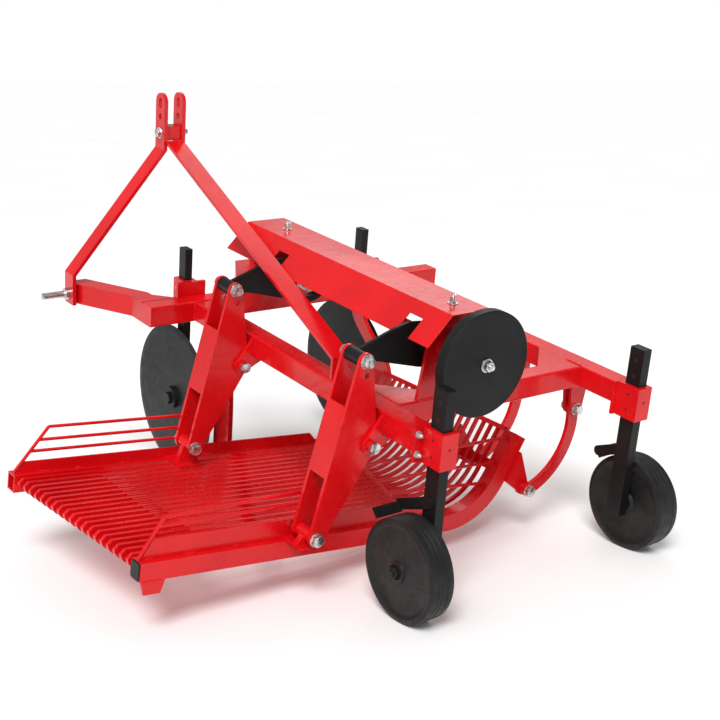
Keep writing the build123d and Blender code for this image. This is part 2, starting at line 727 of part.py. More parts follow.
# Coulter posts with their stub axles, and the clamps that bolt them to the beam
clamp_depth = DISC_POST_DEPTH + 2 * CLAMP_WALL
clamp_front = DISC_POST_Y - DISC_POST_WIDTH / 2 - CLAMP_WALL
with BuildPart() as disc_posts:
    for post_x in (LEFT_DISC_POST_X, RIGHT_DISC_POST_X):
        with BuildSketch(level(MACHINE, DISC_AXLE_Z - DISC_POST_WIDTH / 2)):
            with Locations((post_x, DISC_POST_Y)):
                Rectangle(DISC_POST_DEPTH, DISC_POST_WIDTH)
        extrude(amount=DISC_POST_TOP - DISC_AXLE_Z + DISC_POST_WIDTH / 2)
        with BuildSketch(across(MACHINE, post_x + DISC_POST_DEPTH / 2)):
            with Locations((DISC_POST_Y, DISC_AXLE_Z)):
                Circle(AXLE_R)
        extrude(amount=2 * SIDE_GAP + DISC_HUB_LENGTH)
        with BuildSketch(across(MACHINE, post_x + DISC_POST_DEPTH / 2 + 2 * SIDE_GAP + DISC_HUB_LENGTH)):
            with Locations((DISC_POST_Y, DISC_AXLE_Z)):
                RegularPolygon(AXLE_R + 8, 6)
        extrude(amount=HEAD)
disc_posts.part.label = "disc_posts"
export_step(disc_posts.part, "parts/disc_posts.step")

with BuildPart() as disc_clamps:
    for post_x in (LEFT_DISC_POST_X, RIGHT_DISC_POST_X):
        with BuildSketch(level(MACHINE, DISC_CLAMP_Z - DISC_CLAMP_HEIGHT / 2)):
            with Locations((post_x, (clamp_front - HALF) / 2)):
                Rectangle(clamp_depth, -HALF - clamp_front)
            with Locations((post_x, -HALF - CLAMP_WALL / 2)):
                Rectangle(DISC_CLAMP_PLATE, CLAMP_WALL)
            with Locations((post_x, DISC_POST_Y)):
                Rectangle(DISC_POST_DEPTH, DISC_POST_WIDTH, mode=Mode.SUBTRACT)
        extrude(amount=DISC_CLAMP_HEIGHT)
disc_clamps.part.label = "disc_clamps"
export_step(disc_clamps.part, "parts/disc_clamps.step")

# Coulter discs, sharpened from both faces, on their hubs
for side, post_x in (("left", LEFT_DISC_POST_X), ("right", RIGHT_DISC_POST_X)):
    hub_start = post_x + DISC_POST_DEPTH / 2 + SIDE_GAP
    disc_x = hub_start + DISC_HUB_LENGTH / 2
    half = DISC_THICKNESS / 2
    with BuildPart() as disc:
        with BuildSketch(across(MACHINE, disc_x - half)):
            with Locations((DISC_POST_Y, DISC_AXLE_Z)):
                Circle(DISC_R)
        extrude(amount=DISC_THICKNESS)
        chamfer(disc.edges().filter_by(GeomType.CIRCLE), length=half - 0.4, length2=18)
        with BuildSketch(across(MACHINE, hub_start)):
            with Locations((DISC_POST_Y, DISC_AXLE_Z)):
                Circle(DISC_HUB_R)
        extrude(amount=DISC_HUB_LENGTH)
        with BuildSketch(across(MACHINE, hub_start)):
            with Locations((DISC_POST_Y, DISC_AXLE_Z)):
                Circle(AXLE_R + RUN_FIT)
        extrude(amount=DISC_HUB_LENGTH, mode=Mode.SUBTRACT)
    disc.part.label = f"{side}_coulter_disc"
    export_step(disc.part, f"parts/{side}_coulter_disc.step")

# Gauge wheels on their posts, each held in a clamp bolted behind its rail
scraper_turn = radians(45)
for side, post_x, way in (("left", LEFT_WHEEL_POST_X, 1), ("right", RIGHT_WHEEL_POST_X, -1)):
    face_x = post_x + way * WHEEL_POST_DEPTH / 2
    wheel_start = face_x + way * WHEEL_GAP
    wheel_end = wheel_start + way * WHEEL_WIDTH
    blade_in = WHEEL_R + MOVING_GAP
    blade_out = blade_in + SCRAPER_REACH
    blade_y = WHEEL_POST_Y - (blade_in + blade_out) / 2 * cos(scraper_turn)
    blade_z = -WHEEL_DROP + (blade_in + blade_out) / 2 * sin(scraper_turn)
    with BuildPart() as post:
        with BuildSketch(level(MACHINE, -WHEEL_DROP - WHEEL_POST_WIDTH / 2)):
            with Locations((post_x, WHEEL_POST_Y)):
                Rectangle(WHEEL_POST_DEPTH, WHEEL_POST_WIDTH)
        extrude(amount=WHEEL_POST_TOP + WHEEL_DROP + WHEEL_POST_WIDTH / 2)
        with BuildSketch(across(MACHINE, face_x)):
            with Locations((WHEEL_POST_Y, -WHEEL_DROP)):
                Circle(AXLE_R)
        extrude(amount=way * (WHEEL_GAP + WHEEL_WIDTH))
        with BuildSketch(across(MACHINE, wheel_end)):
            with Locations((WHEEL_POST_Y, -WHEEL_DROP)):
                Circle(AXLE_R + 5)
        extrude(amount=way * HEAD)
        with BuildSketch(across(MACHINE, face_x)):
            tapered_bar((WHEEL_POST_Y, -150, 16), (blade_y, blade_z + 8, 15))
        extrude(amount=way * SCRAPER_ARM)
        with BuildSketch(across(MACHINE, face_x)):
            with Locations((blade_y, blade_z)):
                Rectangle(SCRAPER_REACH, SCRAPER_BLADE, rotation=-45)
        extrude(amount=way * (WHEEL_GAP + WHEEL_WIDTH - 4))
    post.part.label = f"{side}_wheel_post"
    export_step(post.part, f"parts/{side}_wheel_post.step")

    with BuildPart() as wheel:
        with BuildSketch(across(MACHINE, wheel_start)):
            with Locations((WHEEL_POST_Y, -WHEEL_DROP)):
                Circle(WHEEL_R)
        extrude(amount=way * WHEEL_WIDTH)
        fillet(wheel.edges().filter_by(GeomType.CIRCLE), 6)
        with BuildSketch(across(MACHINE, wheel_end)):
            with Locations((WHEEL_POST_Y, -WHEEL_DROP)):
                Circle(WHEEL_R - WHEEL_RIM_WIDTH)
                Circle(WHEEL_HUB_R, mode=Mode.SUBTRACT)
        extrude(amount=-way * WHEEL_DISH_DEPTH, mode=Mode.SUBTRACT, taper=30)
        with BuildSketch(across(MACHINE, wheel_start)):
            with Locations((WHEEL_POST_Y, -WHEEL_DROP)):
                Circle(AXLE_R + RUN_FIT)
        extrude(amount=way * WHEEL_WIDTH, mode=Mode.SUBTRACT)
    wheel.part.label = f"{side}_gauge_wheel"
    export_step(wheel.part, f"parts/{side}_gauge_wheel.step")

wheel_clamp_start = RAIL_END_Y + FLANGE_THICKNESS
wheel_clamp_end = WHEEL_POST_Y + WHEEL_POST_WIDTH / 2 + CLAMP_WALL
with BuildPart() as wheel_clamps:
    for post_x in (LEFT_WHEEL_POST_X, RIGHT_WHEEL_POST_X):
        with BuildSketch(level(MACHINE, -WHEEL_CLAMP_HEIGHT / 2)):
            with Locations((post_x, (wheel_clamp_start + wheel_clamp_end) / 2)):
                Rectangle(WHEEL_POST_DEPTH + 2 * CLAMP_WALL, wheel_clamp_end - wheel_clamp_start)
            with Locations((post_x, WHEEL_POST_Y)):
                Rectangle(WHEEL_POST_DEPTH, WHEEL_POST_WIDTH, mode=Mode.SUBTRACT)
        extrude(amount=WHEEL_CLAMP_HEIGHT)
wheel_clamps.part.label = "wheel_clamps"
export_step(wheel_clamps.part, "parts/wheel_clamps.step")

# Share, whose edge rests on the ground, and the legs that carry it
edge_z = (SHARE_EDGE_Y * STANCE_SIN - STANCE_LIFT) / STANCE_COS
share_slope = tan(radians(SHARE_ANGLE))
share_depth = SHARE_THICKNESS / cos(radians(SHARE_ANGLE))
share_rear_z = edge_z + (SHARE_REAR_Y - SHARE_EDGE_Y) * share_slope
with BuildPart() as share:
    with BuildSketch(across(MACHINE, SHARE_RIGHT_X)):
        with BuildLine():
            Polyline(
                (SHARE_EDGE_Y, edge_z),
                (SHARE_EDGE_Y + 22, edge_z + 22 * share_slope + share_depth),
                (SHARE_REAR_Y, share_rear_z + share_depth),
                (SHARE_REAR_Y, share_rear_z),
                close=True,
            )
        make_face()
    extrude(amount=SHARE_LEFT_X - SHARE_RIGHT_X)
share.part.label = "share"
export_step(share.part, "parts/share.step")

with BuildPart() as share_legs:
    for leg_x, root_front, root_rear in ((LEFT_LEG_X, 96, 208), (RIGHT_LEG_X, -HALF, HALF)):
        foot_front = SHARE_REAR_Y - 92
        with BuildSketch(across(MACHINE, leg_x - SHARE_LEG_THICKNESS / 2)):
            with BuildLine():
                Line((root_front, -HALF), (root_rear, -HALF))
                Spline(
                    (root_rear, -HALF),
                    (SHARE_REAR_Y - 4, -300),
                    tangents=((0, -1), (0, -1)),
                )
                Line((SHARE_REAR_Y - 4, -300), (SHARE_REAR_Y - 4, share_rear_z + share_depth - 4 * share_slope))
                Line(
                    (SHARE_REAR_Y - 4, share_rear_z + share_depth - 4 * share_slope),
                    (foot_front, share_rear_z + share_depth - 92 * share_slope),
                )
                Line((foot_front, share_rear_z + share_depth - 92 * share_slope), (foot_front, -300))
                Spline((foot_front, -300), (root_front, -HALF), tangents=((0, 1), (0, 1)))
            make_face()
        extrude(amount=SHARE_LEG_THICKNESS)
share_legs.part.label = "share_legs"
export_step(share_legs.part, "parts/share_legs.step")

# Bed rails: box tubes that run level and turn up at the closed end, skewed at the open side
for name, rail_y, tip in (("front", -BED_HALF, FRONT_RAIL_TIP), ("rear", BED_HALF, REAR_RAIL_TIP)):
    with BuildPart() as bed_rail:
        with BuildSketch(lengthwise(BED, rail_y + BED_RAIL_WIDTH / 2)):
            tray_strip(tip, -BED_RAIL_HEIGHT, 0)
        extrude(amount=BED_RAIL_WIDTH)
        with BuildSketch(lengthwise(BED, rail_y + BED_RAIL_WIDTH / 2 - BED_RAIL_WALL)):
            tray_strip(tip, BED_RAIL_WALL - BED_RAIL_HEIGHT, -BED_RAIL_WALL)
        extrude(amount=BED_RAIL_WIDTH - 2 * BED_RAIL_WALL, mode=Mode.SUBTRACT)
    bed_rail.part.label = f"bed_{name}_rail"
    export_step(bed_rail.part, f"parts/bed_{name}_rail.step")

# Floor of level bars between the rails, on a skewed cross flat
inner_half = BED_HALF - BED_RAIL_WIDTH / 2
bar_pitch = 2 * inner_half / (BAR_COUNT + 1)
strip_half = COMB_STRIP_WIDTH / 2
with BuildPart() as bed_floor:
    for index in range(BAR_COUNT):
        bar_y = -inner_half + (index + 1) * bar_pitch
        with BuildSketch(lengthwise(BED, bar_y + BAR_WIDTH / 2)):
            with BuildLine():
                Polyline(
                    (RAISED_X, 0),
                    (COMB_INNER_X + strip_half, 0),
                    (COMB_INNER_X + strip_half, -BAR_HEIGHT),
                    (RAISED_X, -BAR_HEIGHT),
                    close=True,
                )
            make_face()
        extrude(amount=BAR_WIDTH)
    with BuildSketch(level(BED, -BAR_HEIGHT - CROSS_FLAT)):
        with BuildLine():
            Polyline(
                (-226 - CROSS_FLAT_WIDTH / 2, -inner_half),
                (-226 + CROSS_FLAT_WIDTH / 2, -inner_half),
                (92 + CROSS_FLAT_WIDTH / 2, inner_half),
                (92 - CROSS_FLAT_WIDTH / 2, inner_half),
                close=True,
            )
        make_face()
    extrude(amount=CROSS_FLAT)
bed_floor.part.label = "bed_floor"
export_step(bed_floor.part, "parts/bed_floor.step")

# Raised end: bars that turn up like the rails, with a rod along their ends and a flat behind them
end_x, end_z = tray_end(-BAR_HEIGHT / 2)
back_x, back_z = tray_end(-BAR_HEIGHT - CROSS_FLAT / 2, LIFT_LENGTH - 25)
with BuildPart() as bed_raised_end:
    for index in range(BAR_COUNT):
        bar_y = -inner_half + (index + 1) * bar_pitch
        with BuildSketch(lengthwise(BED, bar_y + BAR_WIDTH / 2)):
            tray_strip(RAISED_X, -BAR_HEIGHT, 0)
        extrude(amount=BAR_WIDTH)
    with BuildSketch(lengthwise(BED, inner_half)):
        with Locations((end_x, end_z)):
            Rectangle(TOP_ROD, TOP_ROD, rotation=90 - BEND_ANGLE)
        with Locations((back_x, back_z)):
            Rectangle(CROSS_FLAT_WIDTH, CROSS_FLAT, rotation=-BEND_ANGLE)
    extrude(amount=2 * inner_half)
bed_raised_end.part.label = "bed_raised_end"
export_step(bed_raised_end.part, "parts/bed_raised_end.step")

# Comb at the open side: flats on edge with rounded noses, on a strip at each end
skew = (REAR_RAIL_TIP - FRONT_RAIL_TIP) / (2 * BED_HALF)
finger_pitch = (2 * inner_half - FINGER_WIDTH) / FINGER_COUNT
with BuildPart() as bed_comb:
    for index in range(FINGER_COUNT):
        finger_y = -inner_half + FINGER_WIDTH / 2 + (index + 0.5) * finger_pitch
        tip = (FRONT_RAIL_TIP + REAR_RAIL_TIP) / 2 + skew * finger_y
        with BuildSketch(lengthwise(BED, finger_y + FINGER_WIDTH / 2)):
            with BuildLine():
                Polyline(
                    (COMB_INNER_X - strip_half, 0),
                    (COMB_INNER_X - strip_half, -BAR_HEIGHT),
                    (COMB_INNER_X + strip_half, -BAR_HEIGHT - 8),
                    (tip - 2 * FINGER_HEIGHT, -FINGER_HEIGHT),
                    (tip - FINGER_NOSE_R, -FINGER_HEIGHT),
                )
                RadiusArc((tip - FINGER_NOSE_R, -FINGER_HEIGHT), (tip, -FINGER_HEIGHT + FINGER_NOSE_R), -FINGER_NOSE_R)
                Polyline(
                    (tip, -FINGER_HEIGHT + FINGER_NOSE_R),
                    (tip - 12, 0),
                    (COMB_INNER_X - strip_half, 0),
                )
            make_face()
        extrude(amount=FINGER_WIDTH)
    with BuildSketch(level(BED, -FINGER_HEIGHT - COMB_STRIP)):
        with BuildLine():
            Polyline(
                (FRONT_RAIL_TIP - 78, -inner_half),
                (FRONT_RAIL_TIP - 32, -inner_half),
                (REAR_RAIL_TIP - 32, inner_half),
                (REAR_RAIL_TIP - 78, inner_half),
                close=True,
            )
        make_face()
    extrude(amount=COMB_STRIP)
bed_comb.part.label = "bed_comb"
export_step(bed_comb.part, "parts/bed_comb.step")

# Low walls on the rails, and the foot plate under the open end of the rear rail
with BuildPart() as bed_walls:
    for wall_y, tip, height, lean in (
        (FRONT_WALL_Y, FRONT_RAIL_TIP - 10, FRONT_WALL_HEIGHT, 94 / 127),
        (REAR_WALL_Y, REAR_RAIL_TIP - 8, REAR_WALL_HEIGHT, 61 / 102),
    ):
        with BuildSketch(lengthwise(BED, wall_y + WALL_SHEET / 2)):
            with BuildLine():
                Polyline(
                    (tip, 0),
                    (tip - lean * height, height),
                    (BEND_X + height, height),
                    (BEND_X, 0),
                    close=True,
                )
            make_face()
        extrude(amount=WALL_SHEET)
    with BuildSketch(lengthwise(BED, BED_HALF + BED_RAIL_WIDTH / 2)):
        with BuildLine():
            Polyline(
                (REAR_RAIL_TIP - 4, -BED_RAIL_HEIGHT),
                (REAR_RAIL_TIP - 14, -BED_RAIL_HEIGHT - FOOT_PLATE_DROP),
                (REAR_RAIL_TIP - FOOT_PLATE_LENGTH + 12, -BED_RAIL_HEIGHT - FOOT_PLATE_DROP),
                (REAR_RAIL_TIP - FOOT_PLATE_LENGTH, -BED_RAIL_HEIGHT),
                close=True,
            )
        make_face()
    extrude(amount=FOOT_PLATE)
bed_walls.part.label = "bed_walls"
export_step(bed_walls.part, "parts/bed_walls.step")

# Rod guards above the walls
for name, rod_y, lines in (
    (
        "front",
        FRONT_WALL_Y,
        (
            ((FRONT_RAIL_TIP - 6, 4), (FRONT_RAIL_TIP - 100, 131)),
            ((FRONT_RAIL_TIP - 100, 131), (-60, 131)),
            ((FRONT_RAIL_TIP - 72, 94), (-60, 94)),
            ((FRONT_RAIL_TIP - 48, 62), (-60, 62)),
            ((-60, 131), (-60, FRONT_WALL_HEIGHT + 0.2)),
        ),
    ),
    (
        "rear",
        REAR_WALL_Y,
        (
            ((REAR_RAIL_TIP - 4, 4), (REAR_RAIL_TIP - 65, 106)),
            ((REAR_RAIL_TIP - 65, 106), (-60, 128)),
            ((REAR_RAIL_TIP - 52, 84), (-60, 92)),
            ((-60, 128), (-60, REAR_WALL_HEIGHT + 0.2)),
            ((-335, REAR_WALL_HEIGHT + 3.6), (-197, 178)),
            ((-197, 178), (-730, 213)),
            ((-254, 126), (-696, 140)),
            ((-299, 86), (-662, 76)),
        ),
    ),
):
    with BuildPart() as guard:
        for (x0, z0), (x1, z1) in lines:
            start = BED.from_local_coords((x0, rod_y, z0))
            finish = BED.from_local_coords((x1, rod_y, z1))
            with BuildSketch(Plane(origin=start, x_dir=BED.y_dir, z_dir=finish - start)):
                RegularPolygon(ROD_R, 8)
            extrude(amount=(finish - start).length)
    guard.part.label = f"bed_{name}_guard"
    export_step(guard.part, f"parts/bed_{name}_guard.step")

# Bosses that the levers' feet take, each on a saddle welded to its rail
saddle_half = SADDLE_LENGTH / 2
with BuildPart() as bed_bosses:
    for station, wall_face in (
        (FRONT_LEVER_Y, FRONT_WALL_Y + WALL_SHEET / 2),
        (REAR_LEVER_Y, REAR_WALL_Y + WALL_SHEET / 2),
    ):
        foot = BED.to_local_coords(MACHINE.from_local_coords((foot_x, station, foot_z)))
        far_edge = foot.Y + boss_length / 2
        with BuildSketch(level(BED, 0)):
            with Locations((foot.X, (wall_face + far_edge) / 2)):
                Rectangle(SADDLE_LENGTH, far_edge - wall_face)
        extrude(amount=SADDLE_PLATE)
        with BuildSketch(lengthwise(BED, foot.Y + LEVER_PLATE)):
            with BuildLine():
                Polyline(
                    (foot.X - saddle_half, SADDLE_PLATE),
                    (foot.X - BOSS_R, foot.Z),
                    (foot.X + BOSS_R, foot.Z),
                    (foot.X + saddle_half, SADDLE_PLATE),
                    close=True,
                )
            make_face()
        extrude(amount=2 * LEVER_PLATE)
        with BuildSketch(lengthwise(MACHINE, station + boss_length / 2)):
            with Locations((foot_x, foot_z)):
                Circle(BOSS_R)
        extrude(amount=boss_length)
        with BuildSketch(lengthwise(MACHINE, station + boss_length / 2)):
            with Locations((foot_x, foot_z)):
                Circle(PIN_R + RUN_FIT)
        extrude(amount=boss_length, mode=Mode.SUBTRACT)
bed_bosses.part.label = "bed_bosses"
export_step(bed_bosses.part, "parts/bed_bosses.step")

# Lugs behind the tray's raised end, with the pins that the straps hang on
hang_x = STRAP_TOP_X + LEVER_FOOT_OUT
hang_z = STRAP_TOP_Z - LEVER_FOOT_DROP
with BuildPart() as bed_lugs:
    for station, foot_y, depth in (
        (FRONT_STRAP_Y, None, CROSS_FLAT + BAR_HEIGHT),
        (REAR_STRAP_Y, BED_HALF + BED_RAIL_WIDTH / 2, BED_RAIL_HEIGHT),
    ):
        strap_front = station - STRAP_THICKNESS / 2
        hang = BED.to_local_coords(MACHINE.from_local_coords((hang_x, strap_front, hang_z)))
        plate_y = hang.Y - SIDE_GAP - 12 if foot_y is None else foot_y + 12
        upper = tray_end(-depth, LIFT_LENGTH * 0.3)
        lower = tray_end(-depth, LIFT_LENGTH)
        with BuildSketch(lengthwise(BED, plate_y)):
            with BuildLine():
                Polyline(
                    upper,
                    (hang.X - STRAP_EYE_R + 4, hang.Z + 12),
                    (hang.X, hang.Z - STRAP_EYE_R),
                    lower,
                    close=True,
                )
            make_face()
            with Locations((hang.X, hang.Z)):
                Circle(STRAP_EYE_R)
        extrude(amount=12)
        boss_start = MACHINE.to_local_coords(BED.from_local_coords((hang.X, plate_y - 6, hang.Z))).Y
        with BuildSketch(lengthwise(MACHINE, strap_front - SIDE_GAP)):
            with Locations((hang_x, hang_z)):
                Circle(STRAP_EYE_R - 5)
        extrude(amount=strap_front - SIDE_GAP - boss_start)
        with BuildSketch(lengthwise(MACHINE, station + STRAP_THICKNESS / 2 + SIDE_GAP + HEAD)):
            with Locations((hang_x, hang_z)):
                Circle(STRAP_PIN_R)
        extrude(amount=STRAP_THICKNESS + 2 * SIDE_GAP + HEAD)
        with BuildSketch(lengthwise(MACHINE, station + STRAP_THICKNESS / 2 + SIDE_GAP + HEAD)):
            with Locations((hang_x, hang_z)):
                Circle(HEAD_R)
        extrude(amount=HEAD)
bed_lugs.part.label = "bed_lugs"
export_step(bed_lugs.part, "parts/bed_lugs.step")

# Bowed straps that hang the bed's closed end from the right rail
bow = ThreePointArc((STRAP_TOP_X, STRAP_TOP_Z), (STRAP_BOW_X, STRAP_BOW_Z), (hang_x, hang_z))
for name, station in (("front", FRONT_STRAP_Y), ("rear", REAR_STRAP_Y)):
    with BuildPart() as strap:
        with BuildSketch(lengthwise(MACHINE, station + STRAP_THICKNESS / 2)):
            SlotArc(arc=bow.edge(), height=STRAP_WIDTH)
            with Locations((STRAP_TOP_X, STRAP_TOP_Z), (hang_x, hang_z)):
                Circle(STRAP_PIN_R + RUN_FIT, mode=Mode.SUBTRACT)
        extrude(amount=STRAP_THICKNESS)
    strap.part.label = f"{name}_strap"
    export_step(strap.part, f"parts/{name}_strap.step")

# Forks under the right rail with the straps' top pins
with BuildPart() as strap_brackets:
    for station in (FRONT_STRAP_Y, REAR_STRAP_Y):
        inner = STRAP_THICKNESS / 2 + SIDE_GAP
        for start in (station + inner + BRACKET_PLATE, station - inner):
            with BuildSketch(lengthwise(MACHINE, start)):
                tapered_bar((STRAP_TOP_X, STRAP_TOP_Z, STRAP_EYE_R), (STRAP_TOP_X, -HALF - 30, 30))
                with Locations((STRAP_TOP_X, -HALF - 15)):
                    Rectangle(60, 30)
                with Locations((STRAP_TOP_X, 0)):
                    Rectangle(2 * TUBE, TUBE, mode=Mode.SUBTRACT)
            extrude(amount=BRACKET_PLATE)
        with BuildSketch(lengthwise(MACHINE, station + inner + BRACKET_PLATE + HEAD)):
            with Locations((STRAP_TOP_X, STRAP_TOP_Z)):
                Circle(STRAP_PIN_R)
        extrude(amount=2 * (inner + BRACKET_PLATE + HEAD))
strap_brackets.part.label = "strap_brackets"
export_step(strap_brackets.part, "parts/strap_brackets.step")
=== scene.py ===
import bpy
import bmesh
import json
import math
from mathutils import Matrix, Vector


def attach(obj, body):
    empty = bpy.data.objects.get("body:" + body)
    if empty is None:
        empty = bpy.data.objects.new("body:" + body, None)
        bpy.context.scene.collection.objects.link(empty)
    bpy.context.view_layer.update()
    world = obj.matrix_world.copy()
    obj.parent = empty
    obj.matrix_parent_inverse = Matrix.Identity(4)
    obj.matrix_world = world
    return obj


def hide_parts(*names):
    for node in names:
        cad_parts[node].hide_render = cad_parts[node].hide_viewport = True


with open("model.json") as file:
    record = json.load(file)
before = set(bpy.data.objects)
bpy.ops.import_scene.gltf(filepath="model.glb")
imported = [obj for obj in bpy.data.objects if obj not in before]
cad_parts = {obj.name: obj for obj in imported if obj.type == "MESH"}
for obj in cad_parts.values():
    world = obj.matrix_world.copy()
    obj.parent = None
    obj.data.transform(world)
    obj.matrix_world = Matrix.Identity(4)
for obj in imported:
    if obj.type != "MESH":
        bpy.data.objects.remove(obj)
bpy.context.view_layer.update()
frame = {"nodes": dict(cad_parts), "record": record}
nodes = frame["nodes"]

# Sizes and places of the machine, in millimetres along its own axes:
# x to the left of travel, y to the rear, z up
MM = 0.001
LEFT = (1, 0, 0)
RIGHT = (-1, 0, 0)
REAR = (0, 1, 0)
FRONT = (0, -1, 0)
UP = (0, 0, 1)

HALF_TUBE = 32.5
RAIL_XS = (41, -697)
RAIL_END_Y = 1157
FLANGE_THICKNESS = 8
FLANGE_BOLT_XS = (74, -716)
FLANGE_BOLT_Z = 27
SIDE_SEAM_XS = (74.5, -664.5)
BRACE_FOOT_Y = 775

HITCH_Y = -290
SPACER_Z = 503
MAST_HALF = 38

SHAFT_X = -147
SHAFT_Z = 169
FLYWHEEL_REAR_Y = 1145
COVER_TOP_Z = 290
FRONT_SUPPORT_Y = 200
REAR_SUPPORT_Y = 993

LEVER_YS = (330, 968)
PIVOT_XZ = (108, -56)
PIVOT_HALF = 63
LEVER_PINS_XZ = ((134, 177), (254, -297))
LEVER_HALF = 42

DISC_POST_XS = (51, -644)
DISC_POST_Y = -75
DISC_POST_HALF = 20
DISC_BOLT_OUT = 38
DISC_BOLT_TOP_Z = 58
DISC_BOLT_LOW_Z = 10
DISC_SET_Z = 50

WHEEL_POST_XS = (35, -668)
WHEEL_POST_Y = 1205
WHEEL_POST_HALF = 15
WHEEL_POST_HALF_DEPTH = 25
WHEEL_DROP = 325
WHEEL_R = 140
WHEEL_WIDTH = 78
WHEEL_GAP = 10
CLAMP_WALL = 12
POST_HOLE_ZS = (122, 76)
CLAMP_SIDE_HOLE_Y = WHEEL_POST_Y + 1
CLAMP_SIDE_HOLE_ZS = (24, -22)
CLAMP_REAR_HOLE_Z = 6

STRAP_YS = (720, 960)
STRAP_TOP_XZ = (-692, -116)
STRAP_FOOT_XZ = (-546, -357)
STRAP_TOP_HALF = 17
STRAP_FOOT_HALF = 7

# Sizes of the bed along its own axes
BED_HALF = 323
FRONT_WALL_Y = -320
REAR_WALL_Y = 323
BED_RAIL_WIDTH = 45
BED_RAIL_HEIGHT = 50
REAR_RAIL_TIP = 462

# Machine axes, tipped nose up by the parked stance, as metres in the row frame
STANCE = math.radians(7)
PARKED_X = 63.817
PARKED_Y = -469.559
LIFT = WHEEL_R + WHEEL_POST_Y * math.sin(STANCE) + WHEEL_DROP * math.cos(STANCE)
MACHINE = (
    Matrix.Translation((PARKED_X * MM, PARKED_Y * MM, LIFT * MM))
    @ Matrix.Rotation(-STANCE, 4, "X")
    @ Matrix.Scale(MM, 4)
)
BED_PLACE = (254, 585, -350.5)
BED_PITCH = math.radians(2.93)
BED_TILT = math.radians(6)
BED = (
    MACHINE
    @ Matrix.Translation(BED_PLACE)
    @ Matrix.Rotation(BED_PITCH, 4, "X")
    @ Matrix.Rotation(-BED_TILT, 4, "Y")
)


# Materials
def tree(name):
    mat = bpy.data.materials.new(name)
    mat.use_nodes = True
    nt = mat.node_tree
    bsdf = nt.nodes["Principled BSDF"]
    return mat, nt, bsdf


def noise(nt, scale, detail=3.0, rough=0.5):
    coord = nt.nodes.new("ShaderNodeTexCoord")
    tex = nt.nodes.new("ShaderNodeTexNoise")
    tex.inputs["Scale"].default_value = scale
    tex.inputs["Detail"].default_value = detail
    tex.inputs["Roughness"].default_value = rough
    nt.links.new(coord.outputs["Object"], tex.inputs["Vector"])
    return tex.outputs["Fac"]


def ramp(nt, fac, low, high, a=0.35, b=0.65):
    """Spreads the part of fac between a and b over low to high."""
    node = nt.nodes.new("ShaderNodeMapRange")
    node.inputs["From Min"].default_value = a
    node.inputs["From Max"].default_value = b
    node.inputs["To Min"].default_value = low
    node.inputs["To Max"].default_value = high
    nt.links.new(fac, node.inputs["Value"])
    return node.outputs["Result"]


def mix(nt, fac, one, two):
    """Mixes two colours by fac."""
    node = nt.nodes.new("ShaderNodeMix")
    node.data_type = "RGBA"
    nt.links.new(fac, node.inputs[0])
    node.inputs[6].default_value = (*one, 1)
    node.inputs[7].default_value = (*two, 1)
    return node.outputs[2]


def relief(nt, bsdf, height, strength, distance, radius):
    """Fine bumps, over edges that look rounded by radius metres."""
    bump = nt.nodes.new("ShaderNodeBump")
    bump.inputs["Strength"].default_value = strength
    bump.inputs["Distance"].default_value = distance
    nt.links.new(height, bump.inputs["Height"])
    soft = nt.nodes.new("ShaderNodeBevel")
    soft.samples = 4
    soft.inputs["Radius"].default_value = radius
    nt.links.new(soft.outputs["Normal"], bump.inputs["Normal"])
    nt.links.new(bump.outputs["Normal"], bsdf.inputs["Normal"])


def paint(name, deep, bright, rough, coat=0.0, peel=0.05, shine=0.3):
    mat, nt, bsdf = tree(name)
    broad = noise(nt, 5.0, 4.0)
    nt.links.new(mix(nt, ramp(nt, broad, 0, 1), deep, bright), bsdf.inputs["Base Color"])
    fine = noise(nt, 34.0, 5.0)
    nt.links.new(ramp(nt, fine, rough - 0.05, rough + 0.07), bsdf.inputs["Roughness"])
    bsdf.inputs["Specular IOR Level"].default_value = shine
    bsdf.inputs["Coat Weight"].default_value = coat
    bsdf.inputs["Coat Roughness"].default_value = 0.06
    relief(nt, bsdf, noise(nt, 420.0, 2.0), strength=peel, distance=0.0006, radius=0.0018)
    return mat


def metal(name, dark, light, rough):
    mat, nt, bsdf = tree(name)
    streaks = ramp(nt, noise(nt, 90.0, 4.0), 0, 1)
    nt.links.new(mix(nt, streaks, dark, light), bsdf.inputs["Base Color"])
    fine = noise(nt, 300.0, 3.0)
    nt.links.new(ramp(nt, fine, rough - 0.08, rough + 0.1), bsdf.inputs["Roughness"])
    bsdf.inputs["Metallic"].default_value = 1.0
    relief(nt, bsdf, noise(nt, 700.0, 2.0), strength=0.15, distance=0.0003, radius=0.0006)
    return mat


def rubber(name, dark, light):
    mat, nt, bsdf = tree(name)
    dust = ramp(nt, noise(nt, 14.0, 5.0), 0, 1)
    nt.links.new(mix(nt, dust, dark, light), bsdf.inputs["Base Color"])
    nt.links.new(ramp(nt, noise(nt, 60.0, 4.0), 0.38, 0.58), bsdf.inputs["Roughness"])
    bsdf.inputs["Specular IOR Level"].default_value = 0.25
    relief(nt, bsdf, noise(nt, 500.0, 4.0), strength=0.25, distance=0.0006, radius=0.0015)
    return mat


def matt(name, scale, dark, light, rough):
    mat, nt, bsdf = tree(name)
    patches = ramp(nt, noise(nt, scale), 0, 1)
    nt.links.new(mix(nt, patches, dark, light), bsdf.inputs["Base Color"])
    bsdf.inputs["Roughness"].default_value = rough
    return mat, bsdf


